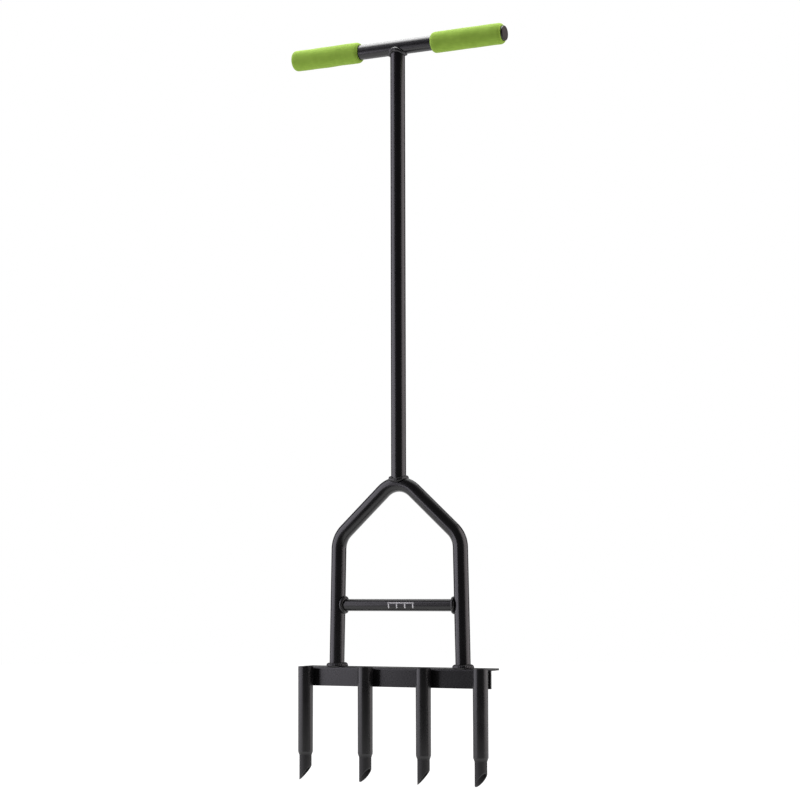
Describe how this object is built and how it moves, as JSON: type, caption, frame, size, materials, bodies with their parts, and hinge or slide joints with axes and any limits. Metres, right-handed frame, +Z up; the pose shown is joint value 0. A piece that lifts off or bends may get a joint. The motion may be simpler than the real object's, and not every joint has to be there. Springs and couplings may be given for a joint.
{
  "type": "hand core aerator",
  "caption": "Hand lawn core aerator: T handle with foam grips, straight shaft, forked foot frame with a step rung, and an angle bar with hollow coring tines.",
  "frame": {"origin": "on the ground under the middle of the tool, at the height of the tine points", "axes": "+Z up the shaft, +X along the handle and the tine bar towards the side the tine mouths face, -Y on the side where the tines stand in front of the bar"},
  "size_m": [0.3048, 0.0452, 0.9515],
  "materials": {
    "black_paint": "semi-gloss black powder coat on steel tube, sheet and welds",
    "grip_foam": "matt lime green closed-cell foam",
    "plug_plastic": "dark brown-grey moulded plastic"
  },
  "bodies": {
    "root": {"crossbar_tube": "black_paint", "shaft_tube": "black_paint", "fork_tube": "black_paint", "foot_rung": "black_paint", "tine_bar": "black_paint", "end_plug_left": "plug_plastic", "end_plug_right": "plug_plastic", "grip_left": "grip_foam", "grip_right": "grip_foam", "tine_1": "black_paint", "tine_2": "black_paint", "tine_3": "black_paint", "tine_4": "black_paint", "weld_crossbar_shaft": "black_paint", "weld_shaft_fork": "black_paint", "weld_rung_left": "black_paint", "weld_rung_right": "black_paint", "weld_leg_left": "black_paint", "weld_leg_right": "black_paint", "weld_tine_1": "black_paint", "weld_tine_2": "black_paint", "weld_tine_3": "black_paint", "weld_tine_4": "black_paint"}
  },
  "joints": []
}
